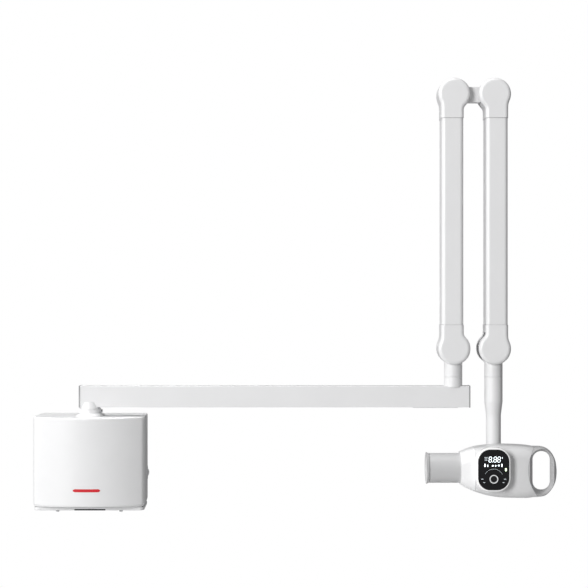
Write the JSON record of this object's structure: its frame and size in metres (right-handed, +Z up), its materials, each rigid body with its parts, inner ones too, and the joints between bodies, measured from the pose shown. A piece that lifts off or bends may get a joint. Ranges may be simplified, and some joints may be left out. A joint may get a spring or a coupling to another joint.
{
  "type": "wall mounted intraoral x-ray unit",
  "caption": "Wall-hung intraoral x-ray unit: bowed wall box, long swivel arm, folding scissor arm, and a tilting tube head with a round cone, control panel and loop handle.",
  "frame": {"origin": "centre of the wall bolt pattern on the wall plate's back face", "axes": "+X along the horizontal arm, +Y into the wall, +Z up"},
  "size_m": [1.1928, 0.2042, 0.9965],
  "materials": {
    "white_casing": "satin moulded plastic",
    "white_paint": "powder coat",
    "grey_plastic": "fine texture",
    "gloss_white": "polished",
    "black_glass": "polished black panel",
    "dark_plastic": "matte",
    "steel": "zinc plated",
    "cast_aluminium": "as cast",
    "bronze": "machined",
    "circuit_board": "solder mask",
    "lead_and_copper": "machined"
  },
  "bodies": {
    "wall_unit": {"wall_plate": "steel", "box_chassis": "steel", "pivot_bracket": "cast_aluminium", "wall_unit_screws": "steel", "pivot_bearings": "bronze", "box_cover": "white_casing", "bottom_panel": "grey_plastic", "handswitch_socket": "dark_plastic", "collar_ring": "white_casing", "switch_bezel": "white_casing", "control_board": "circuit_board", "power_supply": "cast_aluminium"},
    "main_switch": {"switch_rocker": "white_casing"},
    "horizontal_arm": {"arm_tube": "white_paint", "arm_end_caps": "white_paint", "arm_pivot_pin": "steel", "arm_inserts": "cast_aluminium", "pivot_fairing": "white_casing", "arm_underside_cover": "white_casing", "post_collar": "white_paint", "arm_cable": "dark_plastic"},
    "swivel_post": {"post_head": "white_paint", "post_bearings": "bronze"},
    "lower_arm": {"lower_tube": "white_paint", "lower_spring": "steel", "lower_rods": "steel", "lower_forks": "cast_aluminium", "lower_covers_front": "white_casing", "lower_covers_rear": "white_casing"},
    "lower_rod": {"lower_tie_rod": "steel"},
    "elbow": {"elbow_link": "white_paint", "elbow_bearings": "bronze"},
    "upper_arm": {"upper_tube": "white_paint", "upper_spring": "steel", "upper_rods": "steel", "upper_forks": "cast_aluminium", "upper_covers_front": "white_casing", "upper_covers_rear": "white_casing"},
    "upper_rod": {"upper_tie_rod": "steel"},
    "wrist": {"wrist_head": "white_paint", "wrist_bearings": "bronze"},
    "hanging_stem": {"stem": "white_paint", "tilt_bearings": "bronze", "eye_cap": "white_casing"},
    "tube_head": {"head_nose": "white_casing", "head_front_shell": "white_casing", "head_rear_shell": "white_casing", "panel_housing": "gloss_white", "panel_glass": "black_glass", "display_board": "circuit_board", "handle_loop": "grey_plastic", "cone_tube": "grey_plastic", "cone_end_ring": "white_paint", "tube_tank": "cast_aluminium", "beam_filter": "lead_and_copper", "xray_tube": "lead_and_copper", "hv_transformer": "lead_and_copper", "tilt_spindle": "steel"},
    "dial": {"dial_ring": "grey_plastic"},
    "select": {"select_button": "black_glass"}
  },
  "joints": [
    {"name": "switch_rock", "type": "hinge", "parent": "wall_unit", "child": "main_switch", "pos_m": [0.125, -0.04, -0.03], "axis": [0, -1, 0], "range_deg": [0, 12]},
    {"name": "arm_swivel", "type": "hinge", "parent": "wall_unit", "child": "horizontal_arm", "pos_m": [0, -0.075, 0], "axis": [0, 0, 1], "range_deg": [-180, 0]},
    {"name": "post_swivel", "type": "hinge", "parent": "horizontal_arm", "child": "swivel_post", "pos_m": [0.839, -0.075, 0], "axis": [0, 0, 1], "range_deg": [-140, 140]},
    {"name": "lower_arm_lift", "type": "hinge", "parent": "swivel_post", "child": "lower_arm", "pos_m": [0.839, -0.075, 0.262], "axis": [0, 1, 0], "range_deg": [0, 90], "deforming": ["lower_spring"]},
    {"name": "lower_rod_swing", "type": "hinge", "parent": "swivel_post", "child": "lower_rod", "pos_m": [0.829, -0.075, 0.272], "axis": [0, 1, 0], "range_deg": [0, 90]},
    {"name": "elbow_level", "type": "hinge", "parent": "lower_arm", "child": "elbow", "pos_m": [0.839, -0.075, 0.847], "axis": [0, 1, 0], "range_deg": [-90, 0]},
    {"name": "upper_arm_lift", "type": "hinge", "parent": "elbow", "child": "upper_arm", "pos_m": [0.932, -0.075, 0.847], "axis": [0, -1, 0], "range_deg": [0, 110], "deforming": ["upper_spring"]},
    {"name": "upper_rod_swing", "type": "hinge", "parent": "elbow", "child": "upper_rod", "pos_m": [0.9409, -0.075, 0.8597], "axis": [0, -1, 0], "range_deg": [0, 110]},
    {"name": "wrist_level", "type": "hinge", "parent": "upper_arm", "child": "wrist", "pos_m": [0.932, -0.075, 0.262], "axis": [0, -1, 0], "range_deg": [-110, 0]},
    {"name": "stem_swivel", "type": "hinge", "parent": "wrist", "child": "hanging_stem", "pos_m": [0.932, -0.075, 0], "axis": [0, 0, 1], "range_deg": [-165, 165]},
    {"name": "head_tilt", "type": "hinge", "parent": "hanging_stem", "child": "tube_head", "pos_m": [0.932, -0.075, -0.006], "axis": [0, 1, 0], "range_deg": [-135, 135]},
    {"name": "dial_turn", "type": "hinge", "parent": "tube_head", "child": "dial", "pos_m": [0.9145, -0.203, -0.0233], "axis": [0, 1, 0], "continuous": true},
    {"name": "select_press", "type": "slide", "parent": "tube_head", "child": "select", "axis": [0, 1, 0], "range_m": [0, 0.0008], "stiffness_N_per_m": 400}
  ],
  "couplings": [
    {"joint": "lower_rod_swing", "follows": "lower_arm_lift", "ratio": 1},
    {"joint": "elbow_level", "follows": "lower_arm_lift", "ratio": -1},
    {"joint": "upper_rod_swing", "follows": "upper_arm_lift", "ratio": 1},
    {"joint": "wrist_level", "follows": "upper_arm_lift", "ratio": -1}
  ]
}
